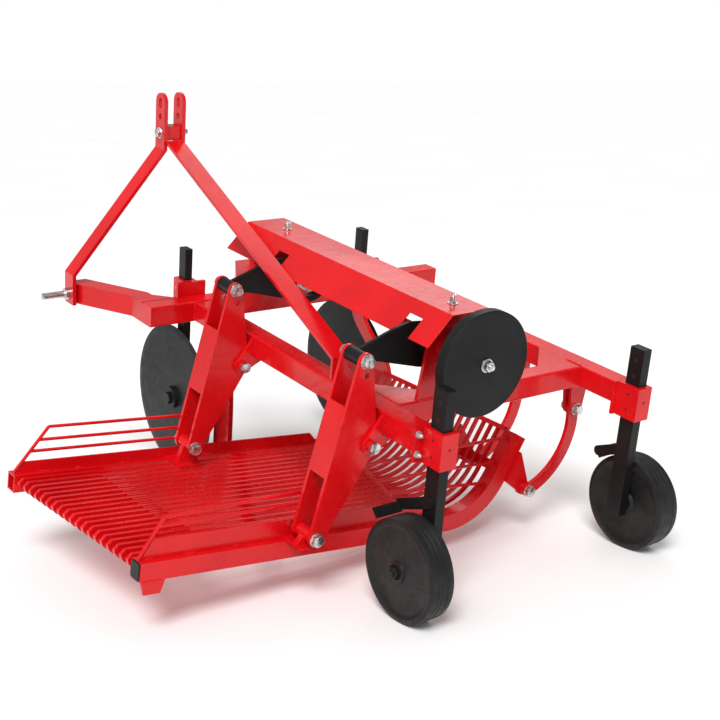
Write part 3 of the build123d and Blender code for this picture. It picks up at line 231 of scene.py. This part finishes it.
RED = paint("red_paint", (0.60, 0.003, 0.006), (0.72, 0.005, 0.008), rough=0.24, coat=0.22)
BLACK = paint(
    "black_paint", (0.006, 0.006, 0.006), (0.013, 0.013, 0.013), rough=0.34, peel=0.12, shine=0.18
)
DISC = paint(
    "disc_black", (0.007, 0.008, 0.0075), (0.016, 0.017, 0.016), rough=0.38, peel=0.08, shine=0.14
)
ZINC = metal("zinc", (0.50, 0.50, 0.49), (0.80, 0.80, 0.78), rough=0.26)
STEEL = metal("bare_steel", (0.36, 0.35, 0.34), (0.60, 0.59, 0.57), rough=0.34)
RUBBER = rubber("tyre_rubber", (0.008, 0.008, 0.008), (0.018, 0.0175, 0.017))
# Painted shade: a near-black colour for the inlays that stand in for the shade inside holes
HOLE_SHADE, _ = matt("shadowed_hole", 40.0, (0.01, 0.004, 0.004), (0.03, 0.008, 0.008), rough=0.8)

MATERIAL_OF_SLOT = {"red": RED, "black": BLACK, "steel": STEEL, "tread": RUBBER}
MATERIAL_OF_NODE = {
    "left_coulter_disc": DISC,
    "right_coulter_disc": DISC,
    "flywheel": DISC,
    "eccentric_shaft": STEEL,
    "lower_pins": ZINC,
}
CAD_SHARP_ANGLE = math.radians(32)

slot_of = {s["node"]: s["material_slot"] for s in frame["record"]["subparts"]}
for name, obj in nodes.items():
    obj.data.materials.clear()
    obj.data.materials.append(MATERIAL_OF_NODE.get(name) or MATERIAL_OF_SLOT[slot_of[name]])
    obj.data.shade_smooth()
    obj.data.set_sharp_from_angle(angle=CAD_SHARP_ANGLE)


# Pieces
class Builder:
    """Collects simple forms, given in a base frame in millimetres, as one mesh."""

    WASHER_THICK = 2.5
    WASHER_EDGE = 0.6

    def __init__(self, base):
        self.base = base
        self.bm = bmesh.new()

    def place(self, verts, matrix):
        bmesh.ops.transform(self.bm, matrix=self.base @ matrix, verts=verts)

    def turn(self, pos, axis):
        axis = Vector(axis).normalized()
        return Matrix.Translation(Vector(pos)) @ axis.to_track_quat("Z", "Y").to_matrix().to_4x4()

    def bridge(self, a, b):
        """Closes the strip between two rings, either of which may be a single point."""
        steps = max(len(a), len(b))
        for k in range(steps):
            n = (k + 1) % steps
            if len(a) == 1:
                self.bm.faces.new((a[0], b[k], b[n]))
            elif len(b) == 1:
                self.bm.faces.new((a[k], a[n], b[0]))
            else:
                self.bm.faces.new((a[k], a[n], b[n], b[k]))

    def lathe(self, pos, axis, profile, steps=32, spin=0.0):
        """Turns (radius, height) points about the axis at pos."""
        rings = []
        for r, h in profile:
            if r < 1e-6:
                rings.append([self.bm.verts.new((0, 0, h))])
                continue
            angles = [spin + 2 * math.pi * k / steps for k in range(steps)]
            rings.append([self.bm.verts.new((r * math.cos(a), r * math.sin(a), h)) for a in angles])
        for a, b in zip(rings, rings[1:]):
            self.bridge(a, b)
        self.place([v for ring in rings for v in ring], self.turn(pos, axis))

    def washer(self, pos, axis, r, thick=WASHER_THICK):
        edge = self.WASHER_EDGE
        profile = [(0, 0), (r - edge, 0), (r, edge), (r, thick - edge), (r - edge, thick), (0, thick)]
        self.lathe(pos, axis, profile, 28)

    def hexagon(self, pos, axis, r, height, spin=0.0):
        """Hexagonal head or nut of corner radius r, chamfered, with a round face on top."""
        sides = [(0, 0), (r, 0), (r, height * 0.78), (r * 0.9, height), (0, height)]
        self.lathe(pos, axis, sides, 6, spin)
        face_at = Vector(pos) + Vector(axis).normalized() * height * 0.9
        rise = height * 0.18
        face = [(r * 0.84, 0), (r * 0.84, height * 0.12), (r * 0.74, rise), (0, rise)]
        self.lathe(face_at, axis, face, 24)

    def thread(self, pos, axis, r, length, pitch=1.6, depth=0.7, chamfer=1.2):
        turns = max(2, int(length / pitch))
        end = turns * pitch
        profile = [(0, 0)]
        for k in range(turns):
            profile.append((r, k * pitch))
            profile.append((r - depth, (k + 0.5) * pitch))
        profile += [(r, end), (r - chamfer, end + chamfer), (0, end + chamfer)]
        self.lathe(pos, axis, profile, 20)

    def seat(self, pos, axis, washer):
        """Lays a washer of that radius, if there is one, and gives the place on top of it."""
        pos = Vector(pos)
        if not washer:
            return pos
        self.washer(pos, axis, washer)
        return pos + axis * self.WASHER_THICK

    def bolt(self, pos, axis, r, height, washer=None, spin=0.0):
        """A hexagonal head."""
        axis = Vector(axis).normalized()
        self.hexagon(self.seat(pos, axis, washer), axis, r, height, spin)

    def nut(self, pos, axis, r, height, stub, washer=None, spin=0.0):
        """A nut with a threaded end that stands out of it by about stub."""
        axis = Vector(axis).normalized()
        pos = self.seat(pos, axis, washer)
        self.hexagon(pos, axis, r, height, spin)
        self.thread(pos + axis * height * 0.9, axis, r * 0.52, stub)

    def bead(self, start, end, r, seed):
        """A weld bead: a lumpy round line."""
        start = Vector(start)
        run = Vector(end) - start
        count = max(3, int(run.length / (r * 1.3)))
        steps = 8
        rings = []
        for i in range(count + 1):
            lump = 1.0 + 0.13 * math.sin(i * 2.1 + seed) + 0.08 * math.sin(i * 5.3 + seed * 2)
            if i in (0, count):
                lump *= 0.45
            angles = [2 * math.pi * k / steps for k in range(steps)]
            rings.append(
                [
                    self.bm.verts.new(
                        (r * lump * math.cos(a), r * lump * math.sin(a), run.length * i / count)
                    )
                    for a in angles
                ]
            )
        self.skin(rings)
        self.place([v for ring in rings for v in ring], self.turn(start, run))

    def skin(self, rings):
        """Joins equal rings and closes both ends."""
        for a, b in zip(rings, rings[1:]):
            self.bridge(a, b)
        self.bm.faces.new(rings[0][::-1])
        self.bm.faces.new(rings[-1])

    def done(self, name, mat, body, angle=35):
        bmesh.ops.recalc_face_normals(self.bm, faces=self.bm.faces)
        mesh = bpy.data.meshes.new(name)
        self.bm.to_mesh(mesh)
        self.bm.free()
        obj = bpy.data.objects.new(name, mesh)
        bpy.context.scene.collection.objects.link(obj)
        mesh.materials.append(mat)
        mesh.shade_smooth()
        mesh.set_sharp_from_angle(angle=math.radians(angle))
        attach(obj, body)
        return obj


# Solid tyres with a grooved tread, a dished face and a hub. Profiles are (radius, distance
# from the inner side); each groove is (middle, depth), and the seam in the middle stands up.
BORE_R = 12.1
TREAD_R = WHEEL_R - 0.8
TREAD_MARKS = ((24, 1.2), (39, -0.8), (54, 1.2))
MARK_HALF = 1.8
MARK_FLOOR_HALF = 0.8
SHOULDER = 14


def wheel_inner_x(post_x, way):
    return post_x + way * (WHEEL_POST_HALF + WHEEL_GAP)


def wheel(name, body, node, post_x, way):
    w = WHEEL_WIDTH
    inner_face = [
        (BORE_R, 0), (27, 0), (30, 3), (34, 9), (100, 10), (118, 6),
        (124, 1), (131, 0.6), (137.5, 3.5), (139, 8), (TREAD_R, SHOULDER),
    ]
    tread = []
    for at, sink in TREAD_MARKS:
        tread += [
            (TREAD_R, at - MARK_HALF), (TREAD_R - sink, at - MARK_FLOOR_HALF),
            (TREAD_R - sink, at + MARK_FLOOR_HALF), (TREAD_R, at + MARK_HALF),
        ]
    outer_face = [
        (TREAD_R, w - SHOULDER), (139, w - 8), (137.5, w - 3.5), (131, w - 0.6), (124, w - 1.2),
        (121, w - 4), (116, w - 8), (104, w - 10), (60, w - 9), (34, w - 6), (29, w - 5),
        (27, w + 1), (25, w + 2), (BORE_R, w + 2),
    ]
    centre = (wheel_inner_x(post_x, way), WHEEL_POST_Y, -WHEEL_DROP)
    b = Builder(MACHINE)
    b.lathe(centre, (way, 0, 0), inner_face + tread + outer_face, 96)
    obj = b.done(name, RUBBER, body, 28)
    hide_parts(node)


LEFT_POST_X, RIGHT_POST_X = WHEEL_POST_XS
wheel("left_tyre", "left_wheel", "left_gauge_wheel", LEFT_POST_X, 1)
wheel("right_tyre", "right_wheel", "right_gauge_wheel", RIGHT_POST_X, -1)

# Heads and nuts, as (corner radius, height)
LEVER_HEAD = (18, 12)
MAST_HEAD = (15, 10)
FLANGE_HEAD = (9, 7)
STRAP_HEAD = (17, 12)
DISC_CLAMP_HEAD = (10, 8)
DISC_SET_HEAD = (10, 9)
FLYWHEEL_NUT = (15.5, 12)
AXLE_NUT = (20, 12)

# Wing nuts on the cover: the hub as (radius, height), a wing as (out, half thickness, height)
WING_WASHER_R = 15
WING_WASHER_THICK = 2.2
WING_HUB = [(9, 0), (9, 4), (6.5, 9), (6, 12), (0, 12)]
WING = ((5, 2.2, 4), (14, 1.6, 9), (21, 1.3, 21), (14, 1.3, 24), (5, 2.0, 12))
WING_RISE = 2
WING_TURN = 0.5
STUD_R = 4.5
STUD_START = 10
STUD_LENGTH = 13


def wing_nut(b, top):
    def raised(height):
        return top + Vector((0, 0, height))

    b.washer(top, UP, WING_WASHER_R, thick=WING_WASHER_THICK)
    b.lathe(raised(WING_WASHER_THICK), UP, WING_HUB, 24)
    b.thread(raised(STUD_START), UP, STUD_R, STUD_LENGTH)
    count = len(WING)
    for way in (1, -1):
        wing = [b.bm.verts.new((way * out, side * half, up)) for side in (-1, 1) for out, half, up in WING]
        b.bm.faces.new(wing[:count])
        b.bm.faces.new(wing[count:][::-1])
        for k in range(count):
            n = (k + 1) % count
            b.bm.faces.new((wing[k], wing[count + k], wing[count + n], wing[n]))
        b.place(wing, Matrix.Translation(raised(WING_RISE)) @ Matrix.Rotation(WING_TURN, 4, "Z"))


# Zinc bolts of the frame: lever pivots, mast, flanges, strap tops, disc clamps and cover
b = Builder(MACHINE)
x, z = PIVOT_XZ
for y in LEVER_YS:
    b.bolt((x, y + PIVOT_HALF, z), REAR, *LEVER_HEAD, spin=0.2)
    b.nut((x, y - PIVOT_HALF, z), FRONT, *LEVER_HEAD, stub=8, spin=0.5)
b.bolt((MAST_HALF, HITCH_Y, SPACER_Z), LEFT, *MAST_HEAD, washer=18, spin=0.3)
b.nut((-MAST_HALF, HITCH_Y, SPACER_Z), RIGHT, *MAST_HEAD, stub=10, washer=18)
for x in FLANGE_BOLT_XS:
    for z in (FLANGE_BOLT_Z, -FLANGE_BOLT_Z):
        b.nut((x, RAIL_END_Y + FLANGE_THICKNESS, z), REAR, *FLANGE_HEAD, stub=9, washer=11, spin=0.3)
        b.bolt((x, RAIL_END_Y, z), FRONT, *FLANGE_HEAD, washer=11, spin=0.1)
x, z = STRAP_TOP_XZ
for y in STRAP_YS:
    b.bolt((x, y + STRAP_TOP_HALF, z), REAR, *STRAP_HEAD, washer=19, spin=0.2)
    b.nut((x, y - STRAP_TOP_HALF, z), FRONT, *STRAP_HEAD, stub=6, washer=19, spin=0.4)
for x in DISC_POST_XS:
    plate_y = -(HALF_TUBE + CLAMP_WALL)
    for out in (DISC_BOLT_OUT, -DISC_BOLT_OUT):
        b.bolt((x + out, plate_y, DISC_BOLT_TOP_Z), FRONT, *DISC_CLAMP_HEAD, washer=13, spin=0.3)
        b.bolt((x + out, plate_y, DISC_BOLT_LOW_Z), FRONT, *DISC_CLAMP_HEAD, washer=13, spin=0.5)
    set_y = DISC_POST_Y - DISC_POST_HALF - CLAMP_WALL
    b.bolt((x, set_y, DISC_SET_Z), FRONT, *DISC_SET_HEAD, washer=13, spin=0.2)
for y in (FRONT_SUPPORT_Y, REAR_SUPPORT_Y):
    wing_nut(b, Vector((SHAFT_X, y, COVER_TOP_Z)))
b.done("frame_bolts", ZINC, "frame")

for body, y in zip(("front_lever_arm", "rear_lever_arm"), LEVER_YS):
    b = Builder(MACHINE)
    for x, z in LEVER_PINS_XZ:
        b.bolt((x, y + LEVER_HALF, z), REAR, *LEVER_HEAD, washer=20, spin=0.25)
        b.nut((x, y - LEVER_HALF, z), FRONT, *LEVER_HEAD, stub=7, washer=20, spin=0.1)
    b.done(body.replace("_arm", "_bolts"), ZINC, body)

FLYWHEEL_WASHER_R = 19
FLYWHEEL_WASHER_THICK = 5
b = Builder(MACHINE)
b.washer((SHAFT_X, FLYWHEEL_REAR_Y, SHAFT_Z), REAR, FLYWHEEL_WASHER_R, thick=FLYWHEEL_WASHER_THICK)
nut_y = FLYWHEEL_REAR_Y + FLYWHEEL_WASHER_THICK
b.nut((SHAFT_X, nut_y, SHAFT_Z), REAR, *FLYWHEEL_NUT, stub=10, spin=0.3)
b.done("flywheel_bolt", ZINC, "drive")

# Bolts of the straps' lower pins on the bed's lugs
b = Builder(MACHINE)
x, z = STRAP_FOOT_XZ
for y in STRAP_YS:
    b.bolt((x, y + STRAP_FOOT_HALF, z), REAR, *STRAP_HEAD, washer=19, spin=0.3)
b.done("strap_bolts", ZINC, "bed")

# Black nuts on the ends of the gauge wheels' axles, each on a thick collar
AXLE_COLLAR = [(12, 0), (22, 0), (22, 2), (20, 3), (12, 3)]
COLLAR_THICK = 3
b = Builder(MACHINE)
for post_x, way in zip(WHEEL_POST_XS, (1, -1)):
    x = wheel_inner_x(post_x, way) + way * WHEEL_WIDTH
    b.lathe((x, WHEEL_POST_Y, -WHEEL_DROP), (way, 0, 0), AXLE_COLLAR, 28)
    nut_x = x + way * COLLAR_THICK
    b.nut((nut_x, WHEEL_POST_Y, -WHEEL_DROP), (way, 0, 0), *AXLE_NUT, stub=5, spin=0.2)
b.done("axle_nuts", BLACK, "frame")

# Adjustment holes of the wheel posts and tapped holes of their clamps, as dark inlays whose colour is
# painted shade, standing in for the dark inside of each hole
POST_HOLE = [(5.5, 0), (5.5, 0.8), (4.6, 0.9), (0, 0.7)]
CLAMP_HOLE = [(3.6, 0), (3.6, 0.8), (2.8, 0.9), (0, 0.7)]
INLAY = 0.5
b = Builder(MACHINE)
for post_x in WHEEL_POST_XS:
    for z in POST_HOLE_ZS:
        b.lathe((post_x + WHEEL_POST_HALF - INLAY, WHEEL_POST_Y, z), LEFT, POST_HOLE, 24)
for post_x in WHEEL_POST_XS:
    for z in CLAMP_SIDE_HOLE_ZS:
        x = post_x + WHEEL_POST_HALF + CLAMP_WALL - INLAY
        b.lathe((x, CLAMP_SIDE_HOLE_Y, z), LEFT, CLAMP_HOLE, 20)
clamp_rear_y = WHEEL_POST_Y + WHEEL_POST_HALF_DEPTH + CLAMP_WALL
for post_x in WHEEL_POST_XS:
    b.lathe((post_x, clamp_rear_y - INLAY, CLAMP_REAR_HOLE_Z), REAR, CLAMP_HOLE, 20)
b.done("clamp_holes", HOLE_SHADE, "frame")

# Weld beads of the frame: round each rail's rear flange and front end, at the rear lever's
# bracket and the cross tube, along the rear support's foot and the brace's foot
SEAM = HALF_TUBE + 0.5
SEAM_RUN = 29
BRACKET_SEAM_RUN = 30
SUPPORT_HALF_THICKNESS = 5
SUPPORT_SEAM_RUN = 93
BRACE_HALF_THICKNESS = 5
BRACE_SEAM_RUN = 27
BIG_BEAD = 3.4
BEAD = 3.0
SMALL_BEAD = 2.8
b = Builder(MACHINE)
seed = 0
for x in RAIL_XS:
    for y, sides in ((RAIL_END_Y, ("top", "left", "bottom")), (HALF_TUBE, ("top", "left", "right"))):
        runs = {
            "top": ((x - SEAM_RUN, y, SEAM), (x + SEAM_RUN, y, SEAM)),
            "bottom": ((x - SEAM_RUN, y, -SEAM), (x + SEAM_RUN, y, -SEAM)),
            "left": ((x + SEAM, y, -SEAM_RUN), (x + SEAM, y, SEAM_RUN)),
            "right": ((x - SEAM, y, -SEAM_RUN), (x - SEAM, y, SEAM_RUN)),
        }
        for side in sides:
            seed += 1
            b.bead(*runs[side], BIG_BEAD, seed)
cross_tube_y = LEVER_YS[1]
for x in SIDE_SEAM_XS:
    start = (x, cross_tube_y - BRACKET_SEAM_RUN, SEAM)
    b.bead(start, (x, cross_tube_y + BRACKET_SEAM_RUN, SEAM), BEAD, x)
for y in (REAR_SUPPORT_Y - SUPPORT_HALF_THICKNESS, REAR_SUPPORT_Y + SUPPORT_HALF_THICKNESS):
    start = (SHAFT_X - SUPPORT_SEAM_RUN, y, SEAM)
    b.bead(start, (SHAFT_X + SUPPORT_SEAM_RUN, y, SEAM), BEAD, y)
for x in (RAIL_XS[0] - BRACE_HALF_THICKNESS, RAIL_XS[0] + BRACE_HALF_THICKNESS):
    start = (x, BRACE_FOOT_Y - BRACE_SEAM_RUN, SEAM)
    b.bead(start, (x, BRACE_FOOT_Y + BRACE_SEAM_RUN, SEAM), SMALL_BEAD, x)
b.done("frame_welds", RED, "frame")

# Weld beads of the bed: short runs on both sides of the walls, and one along the foot plate
WALL_SIDE = 3.5
WALL_BEAD_XS = (440, 330, 190, -90, -240, -390)
WALL_BEAD_RISE = 0.8
WALL_BEAD_RUN = 28
WALL_BEAD_VARY = 6
WALL_BEAD = 2.6
FOOT_BEAD_START_X = REAR_RAIL_TIP - 6
FOOT_BEAD_END_X = REAR_RAIL_TIP - 60
b = Builder(BED)
seed = 0
for x in WALL_BEAD_XS:
    for y in (
        FRONT_WALL_Y + WALL_SIDE, FRONT_WALL_Y - WALL_SIDE, REAR_WALL_Y - WALL_SIDE, REAR_WALL_Y + WALL_SIDE
    ):
        seed += 1
        end_x = x - WALL_BEAD_RUN - WALL_BEAD_VARY * math.sin(seed)
        b.bead((x, y, WALL_BEAD_RISE), (end_x, y, WALL_BEAD_RISE), WALL_BEAD, seed)
foot_y = BED_HALF + BED_RAIL_WIDTH / 2 + 0.1
foot_z = -BED_RAIL_HEIGHT
b.bead((FOOT_BEAD_START_X, foot_y, foot_z), (FOOT_BEAD_END_X, foot_y, foot_z), SMALL_BEAD, seed=3)
b.done("bed_welds", RED, "bed")

# Black plug in the rear rail's open end, as (out of the tip, half width, half height) rings
PLUG = ((-12, 18.2, 20.7), (0, 18.2, 20.7), (0, 21.5, 24), (2.5, 21.5, 24), (4, 20, 22.5))
PLUG_STEPS = 32
SQUARENESS = 1.28


def squared(value):
    return math.copysign(min(1, abs(value) * SQUARENESS), value)


b = Builder(BED)
rings = []
for out, half, tall in PLUG:
    ring = []
    for k in range(PLUG_STEPS):
        a = 2 * math.pi * (k + 0.5) / PLUG_STEPS
        y = BED_HALF + half * squared(math.cos(a))
        z = -BED_RAIL_HEIGHT / 2 + tall * squared(math.sin(a))
        ring.append(b.bm.verts.new((REAR_RAIL_TIP + out, y, z)))
    rings.append(ring)
b.skin(rings)
b.place([v for ring in rings for v in ring], Matrix.Identity(4))
b.done("rail_plug", BLACK, "bed")

# Camera at the photograph's viewpoint, in metres and degrees
CAMERA_PLACE = (2.06794, 3.07178, 1.48354)
CAMERA_TURN = (75.3977, -0.061, 143.736)
SENSOR_WIDTH = 36.0
LENS = 64.5

camera = bpy.data.cameras.new("camera")
camera.sensor_fit = "HORIZONTAL"
camera.sensor_width = SENSOR_WIDTH
camera.lens = LENS
camera.clip_end = 60
camera_object = bpy.data.objects.new("camera", camera)
camera_object.location = CAMERA_PLACE
camera_object.rotation_euler = [math.radians(turn) for turn in CAMERA_TURN]
bpy.context.scene.collection.objects.link(camera_object)
bpy.context.scene.camera = camera_object

# Pale floor
FLOOR_RADIUS = 30
floor_mesh = bpy.data.meshes.new("floor")
bm = bmesh.new()
bmesh.ops.create_circle(bm, cap_ends=True, radius=FLOOR_RADIUS, segments=96)
bm.to_mesh(floor_mesh)
bm.free()
floor = bpy.data.objects.new("floor", floor_mesh)
bpy.context.scene.collection.objects.link(floor)
pale, bsdf = matt("floor", 1.2, (0.94, 0.94, 0.94), (0.96, 0.96, 0.96), rough=0.9)
bsdf.inputs["Specular IOR Level"].default_value = 0.1
floor_mesh.materials.append(pale)

# White surroundings: full white behind the machine, less of it as light and in reflections
SKY_LIGHT = 0.48
SKY_IN_REFLECTIONS = 0.42
SKY_BEHIND = 1.0

world = bpy.data.worlds.new("studio")
bpy.context.scene.world = world
world.use_nodes = True
wt = world.node_tree
path = wt.nodes.new("ShaderNodeLightPath")


def sky(node, strength):
    node.inputs["Color"].default_value = (1, 1, 1, 1)
    node.inputs["Strength"].default_value = strength
    return node.outputs[0]


def choose(ray, otherwise, seen):
    node = wt.nodes.new("ShaderNodeMixShader")
    wt.links.new(path.outputs[ray], node.inputs[0])
    wt.links.new(otherwise, node.inputs[1])
    wt.links.new(seen, node.inputs[2])
    return node.outputs[0]


light_sky = sky(wt.nodes["Background"], SKY_LIGHT)
glossy_sky = sky(wt.nodes.new("ShaderNodeBackground"), SKY_IN_REFLECTIONS)
camera_sky = sky(wt.nodes.new("ShaderNodeBackground"), SKY_BEHIND)
lit = choose("Is Glossy Ray", light_sky, glossy_sky)
surface = choose("Is Camera Ray", lit, camera_sky)
wt.links.new(surface, wt.nodes["World Output"].inputs["Surface"])

# Lamps: a soft high panel as a wide sun, and two weak square lamps for highlights
LAMP_TARGET = (0, 0.1, 0.5)
SUN_FROM = (0.5, 0.5, 0.85)
SUN_STRENGTH = 2.4
SUN_ANGLE = math.radians(24)


def lamp(name, location, size, power):
    light = bpy.data.lights.new(name, "AREA")
    light.shape = "RECTANGLE"
    light.size = size
    light.size_y = size
    light.energy = power
    obj = bpy.data.objects.new(name, light)
    obj.location = location
    toward = Vector(location) - Vector(LAMP_TARGET)
    obj.rotation_euler = toward.to_track_quat("Z", "Y").to_euler()
    bpy.context.scene.collection.objects.link(obj)


lamp("key", (3.4, 1.2, 3.6), 2.0, 25)
lamp("rim", (-2.6, -2.2, 3.4), 2.4, 25)
sun = bpy.data.lights.new("sky_panel", "SUN")
sun.energy = SUN_STRENGTH
sun.angle = SUN_ANGLE
sun_object = bpy.data.objects.new("sky_panel", sun)
sun_object.rotation_euler = Vector(SUN_FROM).to_track_quat("Z", "Y").to_euler()
bpy.context.scene.collection.objects.link(sun_object)

bpy.context.scene.view_settings.view_transform = "Standard"
